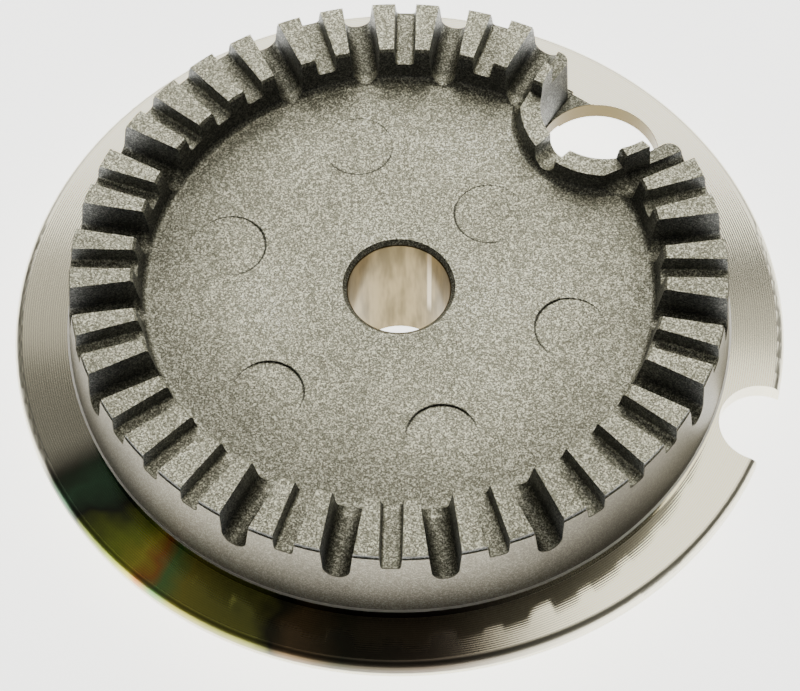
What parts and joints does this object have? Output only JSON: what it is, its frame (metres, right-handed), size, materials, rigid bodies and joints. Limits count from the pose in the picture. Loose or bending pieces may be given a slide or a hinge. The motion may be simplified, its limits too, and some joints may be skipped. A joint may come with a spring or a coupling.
{
  "type": "gas burner crown",
  "caption": "Round burner crown of a gas hob: flange, ring of teeth with gas ports round a bowl, gas tube, electrode pocket and thermocouple notch.",
  "frame": {"origin": "on the axis, at the lower end of the gas tube", "axes": "+Z along the axis, from the gas tube towards the teeth; +X through a small port, with the electrode hole 45 degrees from it towards +Y and the thermocouple notch 18 degrees from it towards -Y"},
  "size_m": [0.076, 0.076, 0.0205],
  "materials": {
    "cast_aluminium": "blasted casting with a turned flange and a machined bore"
  },
  "bodies": {
    "root": {"burner_crown": "cast_aluminium"}
  },
  "joints": []
}
